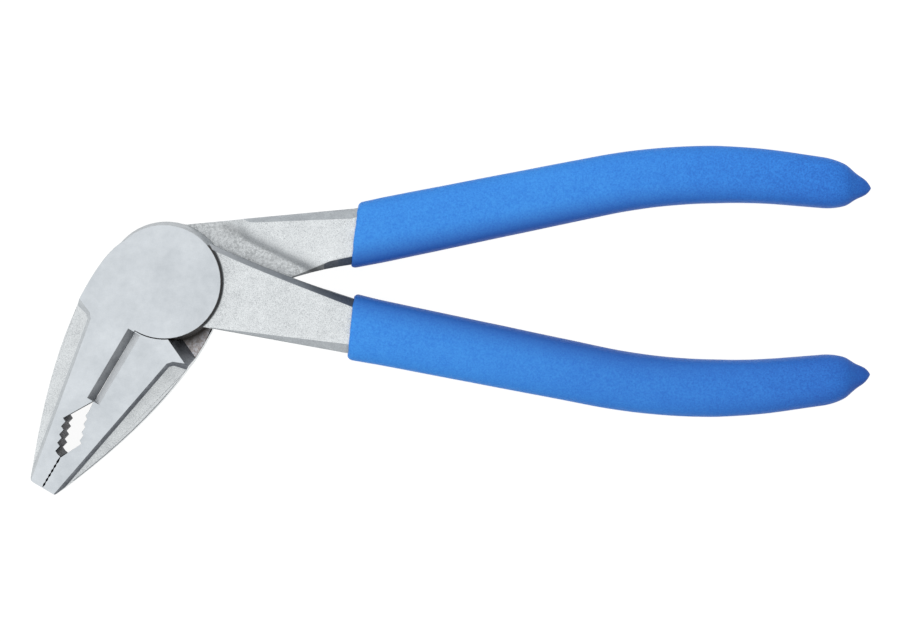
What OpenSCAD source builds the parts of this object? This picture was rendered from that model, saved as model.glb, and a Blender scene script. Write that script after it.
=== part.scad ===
// Combination pliers with an angled head, two riveted forged levers and dipped grips.
// The pivot axis is +Z and the origin lies on it, in the rear face of the head. +X runs along the line
// between the handles, towards their ends, and the jaws point away from it, turned by the head angle.
// The front lever carries the front joint disc, the outer jaw and the lower handle.
// The rear lever carries the rear joint disc, the inner jaw and the upper handle.

/* [Head] */
// Angle between the handles' line and the jaws' parting line, in degrees
head_angle = 59.3; // [50:0.1:66]
// Thickness of the head from face to face
head_thickness = 9.5; // [9:0.1:12]
// Distance from the pivot to the tip of the jaws
jaw_length = 45.2; // [42:0.1:52]
// Distance from the parting line to the outer edge of a jaw at its widest
jaw_half_width = 12.2; // [12:0.1:14]
// Distance from the pivot, along the jaws, of their widest place
jaw_widest = 7.5; // [6:0.1:9]
// Distance from the pivot at which a jaw's shoulder and taper would meet, as a share of its length
jaw_belly = 0.5; // [0.44:0.01:0.52]
// Distance from the parting line to the outer edge of a jaw at its tip
tip_half_width = 2.75; // [2.6:0.05:4]
// Rounding of the outer jaw's corner at the tip
outer_tip_round = 0.8; // [0.3:0.1:1]
// Rounding of the inner jaw's corner at the tip
inner_tip_round = 0.3; // [0.2:0.1:0.8]
// Gap between the closed jaws
jaw_gap = 0.1; // [0.06:0.02:0.3]

/* [Joint] */
// Radius of a joint disc at its ground face
disc_radius = 10.7; // [10:0.1:11]
// Growth of that radius from the face to the lap plane
disc_draft = 0.7; // [0.2:0.05:1.1]
// Gap between the two levers where they lap
lap_gap = 0.1; // [0.06:0.02:0.2]
// Gap between a disc and the shoulder around it
shoulder_gap = 0.15; // [0.1:0.01:0.3]
// Direction of the stop wall across a jaw, measured from the parting line, in degrees
stop_angle = 65.5; // [62:0.5:68]
// Distance of the stop wall from the pivot at the lap plane
stop_offset = 3.8; // [3.4:0.1:4.2]
// Run of the stop wall from the lap plane to the face
stop_draft = 1.75; // [1:0.05:2.2]

/* [Rivet] */
// Radius of the rivet's shank
rivet_radius = 4; // [3:0.1:5]
// Growth of the radius in the flush heads
rivet_flare = 1; // [0.5:0.1:1.5]
// Height of a flush head
rivet_head = 1.2; // [0.8:0.1:1.6]
// Radial gap where the rivet is set in the front lever
rivet_set_gap = 0.02; // [0.01:0.01:0.03]
// Radial gap where the rear lever turns on the rivet
rivet_run_gap = 0.05; // [0.04:0.01:0.1]

/* [Jaw flanks] */
// Distance from the pivot, along the jaws, at which the sunk flank starts
flank_start = 12.4; // [12:0.1:16]
// Half width of the ground face where the flank starts
face_half_width = 8.4; // [7.5:0.05:9]
// Half width of the ground face at the tip
face_tip_half_width = 2.5; // [2.2:0.05:2.6]
// Direction across the flank's end wall, measured from the parting line, in degrees
flank_end_angle = 22; // [10:1:30]
// Cut across the corner between the flank's edge and its end wall
flank_corner = 0.35; // [0.1:0.05:1]
// Depth of the step from the ground face to the flank
flank_step = 1.1; // [0.6:0.1:1.5]
// Run of that step
flank_run = 0.7; // [0.4:0.1:1]
// Fall of the flank towards the outer edge, in degrees
flank_fall = 16; // [8:1:20]

/* [Wire cutter] */
// Distance from the pivot at which the cutting edges end
cutter_end = 26.2; // [24:0.1:27]
// Width of one cutter bevel at the face
cutter_bevel = 1.3; // [0.8:0.1:1.8]
// Depth of the cutting edges below the front face
cutter_depth = 2; // [1.5:0.1:3.5]

/* [Pipe grip] */
// Length of the outer jaw's bite from the cutter to its deepest place
outer_lead = 5.6; // [4.5:0.1:6.5]
// Length of the inner jaw's bite from the flat tip to its deepest place
inner_lead = 4.3; // [3:0.1:5]
// Length of the land between the outer jaw's last tooth and the flat tip
bite_land = 0.2; // [0.1:0.05:0.6]
// Depth of the bite in the outer jaw
outer_bite = 3.3; // [2.6:0.05:3.5]
// Depth of the bite in the inner jaw
inner_bite = 2.15; // [1.8:0.05:2.8]
// Slope of the row of teeth against the parting line, in degrees
bite_slope = 17.3; // [12:0.1:18]
// Pitch of the bite's teeth
bite_pitch = 1.6; // [1.4:0.05:1.65]
// Depth of the outer jaw's teeth
outer_tooth = 0.6; // [0.3:0.05:0.9]
// Depth of the inner jaw's teeth
inner_tooth = 0.45; // [0.3:0.05:0.9]
// Place of a tooth's crest between two gullets, as a share of the pitch
bite_rake = 0.35; // [0.25:0.05:0.5]
// Number of gullets in the bite
bite_gullets = 5; // [3:1:5]

/* [Flat jaw tips] */
// Pitch of the fine serration
serration_pitch = 1; // [0.7:0.05:1.4]
// Depth of the fine serration
serration_depth = 0.15; // [0.1:0.01:0.4]

/* [Handles] */
// Slope of the handles' straight stretch, in degrees
handle_slope = 11.4; // [10:0.1:13]
// Height of that stretch above the middle line, where it passes the pivot
handle_offset = 1.5; // [1:0.1:2.5]
// Distance from the pivot at which the handles begin to bend
bend_start = 82; // [74:1:88]
// Radius of the bend
bend_radius = 115; // [95:1:125]
// Slope of the handles' ends, in degrees below the middle line
end_slope = 6.6; // [3:0.1:8]
// Thickness of the bare handle
bar_thickness = 7.2; // [6.5:0.1:7.2]
// Width of the long bevel on the outer edge, at the grip's mouth
outer_bevel = 1.9; // [0.8:0.1:2.2]
// Width of the long bevel on the inner edge, at the grip's mouth
inner_bevel = 1.6; // [0.8:0.1:1.8]
// Width of the long bevel on the inner edge, at the joint
root_bevel = 1; // [0.4:0.1:1.2]
// Direction from the pivot to the root of the front lever's outer edge, in degrees
front_root_angle = 53; // [48:1:60]
// Direction from the pivot to the root of the rear lever's outer edge, in degrees
rear_root_angle = 90; // [80:1:95]
// Direction from the pivot to the root of the inner edges, in degrees below the middle line
inner_root_angle = 52; // [48:1:56]
// Distance from the pivot at which the inner edges turn from the joint to the grip
neck_turn = 18.8; // [17:0.1:21]
// Height of that turn on the front lever, away from the middle line
front_turn = -2.1; // [-2.4:0.1:0]
// Height of that turn on the rear lever, away from the middle line
rear_turn = 1; // [-1.8:0.1:2]
// Distance of the crossing ramp's foot from the pivot
ramp_start = 13.2; // [13:0.1:14.2]
// Direction of that distance from the middle line, in degrees
ramp_angle = 64; // [62:1:66]
// Run of the crossing ramp at the inner edge
ramp_run = 5.3; // [4:0.1:6]
// Run of the crossing ramp at the outer edge
ramp_outer_run = 20; // [12:0.1:24]

/* [Grips] */
// Distance from the pivot to the grip's mouth
grip_start = 35.6; // [34:0.1:45]
// Distance from the pivot to the end of the grips
grip_end = 133.9; // [128:0.1:150]
// Width of the grip near its mouth
grip_front_width = 12.4; // [11.5:0.1:12.8]
// Width of the grip at its bend
grip_bend_width = 11; // [9.5:0.1:13]
// Width of the grip where its tip begins
grip_back_width = 9.7; // [8:0.1:12]
// Thickness of the dipped coat on the outer edge and on both flat sides
grip_coat = 1.15; // [0.9:0.05:1.15]
// Thickness of the dipped coat on the inner edge
inner_coat = 0.9; // [0.8:0.05:1.15]
// Rounding of the grip's section, from 1, an ellipse, to 0, an oblong
grip_roundness = 0.66; // [0.5:0.02:0.7]
// Length of the rounded lip at the mouth
grip_lip = 0.5; // [0.2:0.1:1]
// Length of the pointed tip
grip_tip = 9.6; // [7:0.1:12]
// Gap between the coat and the bar
coat_gap = 0.04; // [0.02:0.01:0.08]

/* [Hidden] */

steel = [0.78, 0.80, 0.82];
ground_steel = [0.84, 0.86, 0.88];
dipped_blue = [0.20, 0.50, 0.90];

// Reach of a cutting tool past everything that it cuts
far = 60;
// Reach of a cutting tool above the face that it enters
over = 1;
// Bevel where an edge is left almost sharp
sliver = 0.1;
// Height by which the crossing ramp ends above the bar
ramp_over = 0.02;
// Power by which the inner bevel grows from the joint to the grip's mouth
bevel_growth = 4;
// Depth of a handle's root inside its disc, as a share of the disc's radius
root_share = 0.98;
// Direction from the pivot, off the parting line, at which a jaw's shoulder runs into its disc
shoulder_root_angle = 106;
// Share of the grip's section that the lip starts from, and power of the tip's taper
lip_share = 0.95;
tip_power = 0.78;
curve_steps = 12;
corner_steps = 5;
ramp_steps = 16;
ramp_rows = 10;
round_steps = 96;

lap = head_thickness / 2;
lap_floor = lap + lap_gap / 2;
half_gap = jaw_gap / 2;
jaw_direction = 180 + head_angle;
disc_base = disc_radius + disc_draft;
cutter_start = disc_radius + 2 * shoulder_gap;
outer_deep = cutter_end + outer_lead;
tooth_row = (bite_gullets - 1 + bite_rake) * bite_pitch * cos(bite_slope) - outer_tooth * sin(bite_slope);
bite_end = outer_deep + tooth_row + sliver + bite_land;
inner_deep = bite_end - inner_lead;
bar_low = lap - bar_thickness / 2;
bar_high = lap + bar_thickness / 2;
bend_top = bend_start + bend_radius * sin(handle_slope);
bend_end = bend_top + bend_radius * sin(end_slope);
top_height = handle_offset + bend_start * tan(handle_slope) + bend_radius * (1 - cos(handle_slope));
tip_start = grip_end - grip_tip;
bar_end = tip_start - grip_coat;
ramp_inner_end = -disc_radius;
ramp_outer_end = -disc_radius / 2;

function unit(v) = v / norm(v);
function across(v) = [-v.y, v.x];
function along(angle) = [cos(angle), sin(angle)];
function reversed(list) = [for (i = [len(list) - 1:-1:0]) list[i]];
function rest(list) = [for (i = [1:len(list) - 1]) list[i]];

// A curve from p to r that leaves and arrives along the lines through q.
function curve(p, q, r, steps = curve_steps) = [for (i = [0:steps]) let (t = i / steps)
    (1 - t) * (1 - t) * p + 2 * t * (1 - t) * q + t * t * r];

// A solid through rings of equal count, closed at both ends.
module loft(rings) {
    n = len(rings[0]);
    last = (len(rings) - 1) * n;
    sides = [for (i = [0:len(rings) - 2], j = [0:n - 1])
        let (a = i * n + j, b = i * n + (j + 1) % n) each [[a, b, b + n], [a, b + n, a + n]]];
    polyhedron(
        points = [for (ring = rings) each ring],
        faces = [[for (j = [n - 1:-1:0]) j], each sides, [for (j = [0:n - 1]) last + j]]);
}

// A long prism with an upright section, whose first axis faces the given direction.
module ridge(direction) {
    rotate([0, 0, direction]) rotate([90, 0, 0]) linear_extrude(2 * far, center = true) children();
}

// Turns what is made for the front face into the rear one.
module rear_face() {
    translate([0, 0, head_thickness]) mirror([0, 0, 1]) children();
}

// Turns what is made for the upper handle into the lower one.
module lower() {
    translate([0, 0, head_thickness]) rotate([180, 0, 0]) children();
}

// Jaws. Their own axes run along the parting line, u, and away from it, w.

// Edge of the bite: a straight lead to the deepest place, then teeth that come back at the bite's slope.
function bite_edge(lead, deep, depth, tooth, way) =
    let (line = [way * cos(bite_slope), -sin(bite_slope)],
        inward = [-way * sin(bite_slope), -cos(bite_slope)],
        gullet = function (i) [deep, depth] + i * bite_pitch * line,
        crest = function (i) gullet(i + bite_rake) + tooth * inward,
        teeth = [for (i = [0:bite_gullets - 1]) each [gullet(i), crest(i)]])
    [[lead, half_gap], each [for (p = teeth) [p.x, max(p.y, half_gap)]]];

// Fine serration of the flat tip, from the bite to the end of the jaw.
function serration() =
    let (count = floor((jaw_length - bite_end) / serration_pitch))
    [for (i = [0:count - 1], part = [0.25, 0.75])
        [jaw_length - (count - i - part) * serration_pitch, half_gap + (part < 0.5 ? serration_depth : 0)]];

// Parting edge of the outer jaw and of the inner jaw, from the joint to the tip. The inner jaw's last gullet
// runs out at the cutter's end.
function outer_parting() = concat(
    bite_edge(cutter_end, outer_deep, outer_bite, outer_tooth, 1),
    [[bite_end - bite_land, half_gap]], serration());
function inner_parting() = concat(
    [[cutter_end, half_gap]],
    rest(reversed(bite_edge(bite_end, inner_deep, inner_bite, inner_tooth, -1))), serration());

// Outline of a jaw and of the shoulder that runs into its disc.
module jaw_outline(parting, tip_round) {
    widest = [jaw_widest, jaw_half_width];
    tip = [jaw_length, tip_half_width];
    belly = [jaw_length * jaw_belly, jaw_half_width];
    corner = tip + tip_round * unit(belly - tip);
    root = disc_radius * along(shoulder_root_angle);
    polygon([
        [root.x, half_gap],
        each parting,
        [jaw_length, half_gap],
        each curve([jaw_length, tip_half_width - tip_round], tip, corner, corner_steps),
        each rest(curve(corner, belly, widest)),
        each rest(curve(widest, [0, jaw_half_width], root))
    ]);
}

// What is cut from a jaw below the lap plane, so that the other lever's disc and handle can turn there.
module lap_cut() {
    draft = over * disc_draft / lap;
    slope = over * stop_draft / lap;
    intersection() {
        union() {
            translate([0, 0, -over]) cylinder(
                r1 = disc_radius + shoulder_gap - draft, r2 = disc_base + shoulder_gap + draft,
                h = lap_floor + 2 * over, $fn = round_steps);
            ridge(stop_angle - 90) polygon([
                [-far, -over], [stop_offset + stop_draft + slope, -over],
                [stop_offset - slope, lap_floor + over], [-far, lap_floor + over]]);
        }
        translate([-far, -far, -far]) cube([2 * far, 2 * far, far + lap_floor]);
    }
}

// Groove of the wire cutter in one jaw, entered from the front face, down to the height of its cutting edge.
module cutter_groove(edge) {
    translate([cutter_end, 0, 0]) rotate([90, 0, -90]) linear_extrude(cutter_end - cutter_start) polygon([
        [over, edge], [-half_gap, edge], [-cutter_bevel, edge + cutter_depth],
        [-cutter_bevel, head_thickness + over], [over, head_thickness + over]]);
}

// Section of the sunk flank: the step down from the face and the fall to the outer edge.
module flank_section(distance) {
    foot = distance + flank_run;
    polygon([
        [distance - over * flank_run / flank_step, head_thickness + over],
        [foot, head_thickness - flank_step],
        [foot + far, head_thickness - flank_step - far * tan(flank_fall)],
        [foot + far, head_thickness + over]]);
}

// Section of the flank's end: the same step, with no floor of its own.
module end_section(distance) {
    run = flank_run / flank_step;
    polygon([
        [distance - over * run, head_thickness + over], [distance + far * run, head_thickness - far],
        [distance + far * run + far, head_thickness - far],
        [distance + far * run + far, head_thickness + over]]);
}

// Sunk flank of the front face, bounded by the ground face's edge, its end wall and the corner between them.
module flank_cut() {
    start = [flank_start, face_half_width];
    edge_normal = unit(across([jaw_length, face_tip_half_width] - start));
    edge_direction = atan2(edge_normal.y, edge_normal.x);
    corner_direction = (edge_direction + flank_end_angle) / 2;
    intersection() {
        ridge(edge_direction) flank_section(start * edge_normal);
        ridge(flank_end_angle) end_section(start * along(flank_end_angle));
        ridge(corner_direction) end_section(start * along(corner_direction) + flank_corner);
    }
}

// Room for the rivet: its shank and both heads, grown by the gap.
module rivet_room(gap) {
    wide = rivet_radius + rivet_flare + gap;
    translate([0, 0, -over])
        cylinder(r = rivet_radius + gap, h = head_thickness + 2 * over, $fn = round_steps);
    for (turned = [false, true]) facing(turned) {
        translate([0, 0, head_thickness - rivet_head])
            cylinder(r1 = rivet_radius + gap, r2 = wide, h = rivet_head, $fn = round_steps);
        translate([0, 0, head_thickness]) cylinder(r = wide, h = over, $fn = round_steps);
    }
}

// Leaves what is made for the front face as it is, or turns it to the rear one.
module facing(turned) {
    if (turned) rear_face() children();
    else children();
}

// Jaw with its disc in the front half of the head, without the rivet's bore.
module half_head(parting, tip_round, edge) {
    difference() {
        union() {
            linear_extrude(head_thickness) jaw_outline(parting, tip_round);
            translate([0, 0, lap_floor])
                cylinder(r1 = disc_base, r2 = disc_radius, h = head_thickness - lap_floor, $fn = round_steps);
        }
        lap_cut();
        for (turned = [false, true]) facing(turned) {
            cutter_groove(turned ? head_thickness - edge : edge);
            flank_cut();
        }
    }
}

// Handles. They are made as the upper one.

// Middle line of the handle and its slope at a distance from the pivot.
function handle_y(x) =
    x < bend_start ? handle_offset + x * tan(handle_slope)
    : x < bend_end ? top_height - bend_radius + sqrt(pow(bend_radius, 2) - pow(x - bend_top, 2))
    : top_height - bend_radius * (1 - cos(end_slope)) - (x - bend_end) * tan(end_slope);
function handle_angle(x) =
    x < bend_start ? handle_slope : x < bend_end ? -asin((x - bend_top) / bend_radius) : -end_slope;

// Full width of the grip, across its middle line.
function grip_width(x) = lookup(x, [
    [grip_start, grip_front_width], [bend_top, grip_bend_width], [tip_start, grip_back_width]]);

// Outer edge, at side 1, and inner edge, at side -1, of the bar inside the grip.
function bar_edge(x, side) =
    let (coat = side > 0 ? grip_coat : inner_coat)
    [x, handle_y(x) + side * (grip_width(x) / 2 - coat) / cos(handle_angle(x))];

// Ring of the bevelled bar between two points of its edges, grown by a gap. The share grows from the joint
// to the grip's mouth, and with it the bevels.
function bar_ring(outer, inner, share, gap) =
    let (e = unit(inner - outer), o = outer - gap * e, i = inner + gap * e,
        bo = max(sliver, share * outer_bevel),
        bi = root_bevel + pow(share, bevel_growth) * (inner_bevel - root_bevel),
        lo = bar_low - gap, hi = bar_high + gap)
    [[each o, lo + bo], [each o + bo * e, lo], [each i - bi * e, lo], [each i, lo + bi],
        [each i, hi - bi], [each i - bi * e, hi], [each o + bo * e, hi], [each o, hi - bo]];

// Rings of the bar inside the grip, from one distance to another.
function bar_rings(from, to, gap) =
    let (steps = 18)
    [for (i = [0:steps]) let (x = from + (to - from) * i / steps)
        bar_ring(bar_edge(x, 1), bar_edge(x, -1), 1, gap)];

// Height of the crossing ramp as a share of its rise: hollow at the foot, steep, then rounded to the top.
function ramp_rise(t) = pow(1 - pow(1 - t, 4), 2.5);

// What is cut from a bare handle, so that the other lever can cross in front of it. The ramp runs out towards
// the outer edge.
module crossing_cut() {
    foot = lap - lap_gap;
    heading = along(ramp_angle);
    share = function (side) (side - ramp_inner_end) / (ramp_outer_end - ramp_inner_end);
    run_at = function (side) ramp_run + (ramp_outer_run - ramp_run) * pow(share(side), 2);
    section = function (side, run) let (
        slope = [for (i = [0:ramp_steps]) let (t = pow(i / ramp_steps, 1.3))
            [ramp_start + run * t, foot + (bar_high + ramp_over - foot) * ramp_rise(t)]],
        edge = [[-far, foot], each slope, [ramp_start + run, bar_high + over], [-far, bar_high + over]])
        [for (p = edge) [each p.x * heading + side * across(heading), p.y]];
    rows = [for (i = [0:ramp_rows]) ramp_inner_end * (1 - i / ramp_rows)];
    loft([section(-far, ramp_run), for (side = rows) section(side, run_at(side)), section(far, run_at(0))]);
}

// Bare handle, with the ramp at its crossing.
module handle_bar(outer_root_angle, inner_turn) {
    outer_root = root_share * disc_radius * along(outer_root_angle);
    inner_root = root_share * disc_radius * along(-inner_root_angle);
    outer_mouth = bar_edge(grip_start, 1);
    inner_mouth = bar_edge(grip_start, -1);
    outer = curve(outer_root, (outer_root + outer_mouth) / 2, outer_mouth);
    inner = curve(inner_root, [neck_turn, inner_turn], inner_mouth);
    neck = [for (i = [0:curve_steps - 1]) bar_ring(outer[i], inner[i], i / curve_steps, 0)];
    difference() {
        loft(concat(neck, bar_rings(grip_start, bar_end, 0)));
        crossing_cut();
    }
}

// Grips. They are made as the upper one.

// Ring of the grip: a rounded oblong, as a share of its full size.
function grip_ring(x, share) =
    let (n = 24, half_width = share * grip_width(x) / 2 / cos(handle_angle(x)),
        half_height = share * (bar_thickness / 2 + grip_coat))
    [for (i = [0:n - 1]) let (c = cos(360 * i / n), s = -sin(360 * i / n))
        [x, handle_y(x) + half_width * sign(c) * pow(abs(c), grip_roundness),
            lap + half_height * sign(s) * pow(abs(s), grip_roundness)]];

module grip() {
    lip_steps = 3;
    body_steps = 22;
    tip_steps = 9;
    body_start = grip_start + grip_lip;
    lip = [for (i = [0:lip_steps - 1]) let (a = 90 * i / lip_steps)
        grip_ring(grip_start + grip_lip * (1 - cos(a)), lip_share + (1 - lip_share) * sin(a))];
    body = [for (i = [0:body_steps]) grip_ring(body_start + (tip_start - body_start) * i / body_steps, 1)];
    tip = [for (i = [1:tip_steps]) let (p = sin(90 * i / (tip_steps + 0.3)))
        grip_ring(tip_start + grip_tip * p, pow(1 - p * p, tip_power))];
    difference() {
        loft(concat(lip, body, tip));
        loft(bar_rings(grip_start - over, bar_end + coat_gap, coat_gap));
    }
}

// Nodes

module front_lever() {
    color(steel) difference() {
        union() {
            rotate([0, 0, jaw_direction]) mirror([0, 1, 0]) half_head(
                outer_parting(), outer_tip_round, head_thickness - cutter_depth);
            lower() handle_bar(front_root_angle, front_turn);
        }
        rivet_room(rivet_set_gap);
    }
}

module rear_lever() {
    color(steel) difference() {
        union() {
            rotate([0, 0, jaw_direction]) rear_face() half_head(
                inner_parting(), inner_tip_round, cutter_depth);
            handle_bar(rear_root_angle, rear_turn);
        }
        rivet_room(rivet_run_gap);
    }
}

module pivot_rivet() {
    color(ground_steel) {
        cylinder(r = rivet_radius, h = head_thickness, $fn = round_steps);
        for (turned = [false, true]) facing(turned) translate([0, 0, head_thickness - rivet_head])
            cylinder(r1 = rivet_radius, r2 = rivet_radius + rivet_flare, h = rivet_head, $fn = round_steps);
    }
}

module upper_grip() {
    color(dipped_blue) grip();
}

module lower_grip() {
    color(dipped_blue) lower() grip();
}

front_lever();
rear_lever();
pivot_rivet();
upper_grip();
lower_grip();
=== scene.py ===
import math

import bmesh
import bpy
from mathutils import Matrix, Vector


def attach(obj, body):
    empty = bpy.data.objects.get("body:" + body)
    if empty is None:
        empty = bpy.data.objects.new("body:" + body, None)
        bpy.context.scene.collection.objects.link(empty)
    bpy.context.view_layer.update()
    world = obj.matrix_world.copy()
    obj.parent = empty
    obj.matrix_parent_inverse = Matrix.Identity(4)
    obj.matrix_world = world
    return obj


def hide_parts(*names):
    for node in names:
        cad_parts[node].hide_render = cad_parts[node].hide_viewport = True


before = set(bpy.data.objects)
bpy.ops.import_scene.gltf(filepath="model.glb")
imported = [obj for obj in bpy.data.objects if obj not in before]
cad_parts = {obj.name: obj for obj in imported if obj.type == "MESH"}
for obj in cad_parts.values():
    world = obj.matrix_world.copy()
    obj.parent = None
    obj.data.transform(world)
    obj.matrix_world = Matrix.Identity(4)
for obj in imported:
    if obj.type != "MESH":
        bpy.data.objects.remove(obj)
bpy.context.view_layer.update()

MM = 0.001

# Sizes of the pliers, in millimetres, and directions, in radians
HEAD_THICKNESS = 9.5
LAP_HEIGHT = HEAD_THICKNESS / 2
LAP_GAP = 0.1
DISC_RADIUS = 10.7
DISC_REACH = 12.3
JAW_DIRECTION = math.radians(180 + 59.3)
JAW_LENGTH = 45.2
CUTTER_START = 11
CUTTER_END = 26.2
CUTTER_DEPTH = 2
CUTTER_HEIGHT = HEAD_THICKNESS - CUTTER_DEPTH
BAR_THICKNESS = 7.2
RIVET_RADIUS = 4
RIVET_FLARE = 1
RIVET_HEAD = 1.2

# The ramp on which each bar rises beside the other lever's disc; its run widens past its corner
RAMP_START = 13.2
RAMP_DIRECTION = math.radians(64)
RAMP_OVER = 0.02
RAMP_FOOT = LAP_HEIGHT - LAP_GAP
RAMP_RISE = BAR_THICKNESS / 2 + LAP_GAP + RAMP_OVER
RAMP_RUN = 5.3
RAMP_WIDENING = 14.7
RAMP_CORNER = -DISC_RADIUS
RAMP_FADE = DISC_RADIUS / 2
RAMP_ROUND = 4
RAMP_HOLLOW = 2.5

# What both grips share, with their slopes in degrees
GRIP = {
    "Mouth": 35.6, "End": 133.87, "Slope": 11.4, "Offset": 1.5, "Bend Start": 82, "Bend Radius": 115,
    "End Slope": 6.6, "Front Width": 12.4, "Bend Width": 11, "Back Width": 9.7,
    "Bar Thickness": BAR_THICKNESS, "Outer Coat": 1.15, "Inner Coat": 0.9, "Coat Gap": 0.05,
    "Outer Bevel": 1.9, "Inner Bevel": 1.6, "Roundness": 0.66, "Lip": 0.85, "Tip": 9.6,
    "Mouth Tilt": 0.11, "Mouth Wave": 0.5, "Lumps": 0.02,
}


# Node trees

class Wire:
    """An output of a node. Sums and products of wires add Math nodes to their tree."""

    def __init__(self, tree, socket):
        self.tree = tree
        self.socket = socket

    def math(self, operation, *others):
        return wire(self.tree, "ShaderNodeMath", dict(enumerate((self, *others))), operation=operation)

    def __add__(self, other):
        return self.math("ADD", other)

    def __sub__(self, other):
        return self.math("SUBTRACT", other)

    def __mul__(self, other):
        return self.math("MULTIPLY", other)

    def __truediv__(self, other):
        return self.math("DIVIDE", other)

    def __pow__(self, other):
        return self.math("POWER", other)

    def __neg__(self):
        return self.math("MULTIPLY", -1)

    __radd__ = __add__
    __rmul__ = __mul__

    def __rsub__(self, other):
        return (-self).math("ADD", other)

    def below(self, other):
        return self.math("LESS_THAN", other)

    def at_least(self, other):
        return self.math("MAXIMUM", other)

    def clamped(self):
        return self.at_least(0).math("MINIMUM", 1)

    def unsigned(self):
        return self.math("ABSOLUTE")

    def sine(self):
        return self.math("SINE")

    def cosine(self):
        return self.math("COSINE")

    def signed_power(self, power):
        return self.math("SIGN") * self.unsigned() ** power


def add(tree, kind, inputs=None, **settings):
    made = tree.nodes.new(kind)
    for key, value in settings.items():
        setattr(made, key, value)
    for key, value in (inputs or {}).items():
        if isinstance(value, Wire):
            tree.links.new(value.socket, made.inputs[key])
        else:
            made.inputs[key].default_value = value
    return made


def wire(tree, kind, inputs=None, output=0, **settings):
    return Wire(tree, add(tree, kind, inputs, **settings).outputs[output])


def parts_of(vector):
    """The X, Y and Z of a vector."""
    made = add(vector.tree, "ShaderNodeSeparateXYZ", {0: vector})
    return [Wire(vector.tree, part) for part in made.outputs]


def vector_of(x, y, z):
    return wire(x.tree, "ShaderNodeCombineXYZ", {0: x, 1: y, 2: z})


def choose(test, yes, no):
    return no + test * (yes - no)


def spread(value, low, high):
    """How far a value is on its way from low to high, held between 0 and 1."""
    return ((value - low) * (1 / (high - low))).clamped()


# Finishes

# Dark tone laid over the steel as painted shade
PAINTED_SHADE_TONE = (0.085, 0.09, 0.095)


def object_place(tree):
    return wire(tree, "ShaderNodeTexCoord", output="Object")


def flat_place(tree):
    """Place beside the pivot, in millimetres, with the plane folded so that both levers lie alike."""
    x, y, _ = parts_of(object_place(tree))
    return x * (1 / MM), y.unsigned() * (1 / MM)


def pivot_distance(tree):
    x, y = flat_place(tree)
    return (x * x + y * y) ** 0.5


def noise(tree, size, detail=3, roughness=0.55, stretch=(1, 1, 1)):
    """Even cloudy noise whose lumps have the given size in millimetres, from 0 to 1."""
    place = object_place(tree)
    if stretch != (1, 1, 1):
        place = wire(tree, "ShaderNodeMapping", {"Vector": place, "Scale": stretch})
    return wire(tree, "ShaderNodeTexNoise", {
        "Vector": place, "Scale": 1 / (size * MM), "Detail": detail, "Roughness": roughness}, output="Fac")


def full_range(value):
    """The middle of a noise's range, stretched to reach from 0 to 1."""
    return spread(value, 0.3, 0.7)


def colours(tree, factor, *stops):
    ramp = add(tree, "ShaderNodeValToRGB", {"Fac": factor})
    elements = ramp.color_ramp.elements
    while len(elements) < len(stops):
        elements.new(0.5)
    for element, (place, colour) in zip(elements, stops):
        element.position = place
        element.color = (*colour, 1)
    return Wire(tree, ramp.outputs["Color"])


def laid_over(tree, tone, share, top=PAINTED_SHADE_TONE):
    """A tone with another one over a share of it: the painted shade tone, unless another is given."""
    return wire(tree, "ShaderNodeMix", {"Factor": share, "A": tone, "B": (*top, 1)}, output=2,
                data_type="RGBA")


def uneven(low, high, size, detail=3):
    """A roughness that wanders between two values, in lumps of the given size."""
    return lambda tree: low + full_range(noise(tree, size, detail)) * (high - low)


def bumps(size, detail=3, roughness=0.55, stretch=(1, 1, 1)):
    """A surface's height, from one noise."""
    return lambda tree: noise(tree, size, detail, roughness, stretch)


def finish(name, metallic, colour, roughness, height, depth, strength, **constants):
    """A material from functions of its node tree: its colour, its roughness and its surface's height."""
    material = bpy.data.materials.new(name)
    material.use_nodes = True
    tree = material.node_tree
    shader = tree.nodes["Principled BSDF"]
    shader.inputs["Metallic"].default_value = metallic
    for key, value in constants.items():
        shader.inputs[key.replace("_", " ")].default_value = value
    bump = wire(tree, "ShaderNodeBump", {
        "Height": height(tree), "Distance": depth * MM, "Strength": strength}, output="Normal")
    for key, value in (("Base Color", colour(tree)), ("Roughness", roughness(tree)), ("Normal", bump)):
        tree.links.new(value.socket, shader.inputs[key])
    return material


def ground_steel():
    """Faces of the head, ground and a little mottled."""
    def colour(tree):
        cloud = noise(tree, 6) * 0.55 + noise(tree, 1.6) * 0.3 + noise(tree, 0.25, 1) * 0.15
        return colours(tree, full_range(cloud), (0, (0.52, 0.55, 0.575)), (1, (0.71, 0.74, 0.765)))

    def height(tree):
        return noise(tree, 0.5, 2, stretch=(1, 0.12, 1)) * 0.6 + noise(tree, 0.12, 1) * 0.4

    return finish("ground_steel", 1, colour, uneven(0.30, 0.44, 3), height, 0.006, 0.6)


def blasted_tone(tree):
    grain = noise(tree, 0.15, 1) * 0.7 + noise(tree, 2.2) * 0.12 + noise(tree, 9) * 0.18
    return colours(tree, spread(grain, 0.32, 0.68), (0, (0.50, 0.52, 0.53)), (0.45, (0.76, 0.78, 0.785)),
                   (1, (0.93, 0.95, 0.95)))


def blasted_finish(name, colour):
    return finish(name, 1, colour, uneven(0.44, 0.62, 0.4, 1), bumps(0.18, 2, 0.6), 0.016, 0.7)


def blasted_steel():
    """Flat sides of the handles and flanks, with painted shade along the disc's foot."""
    foot_outside, foot_inside = 11.35, 11.1

    def colour(tree):
        foot_shade = spread(pivot_distance(tree), foot_outside, foot_inside)
        return laid_over(tree, blasted_tone(tree), foot_shade)

    return blasted_finish("blasted_steel", colour)


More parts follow.
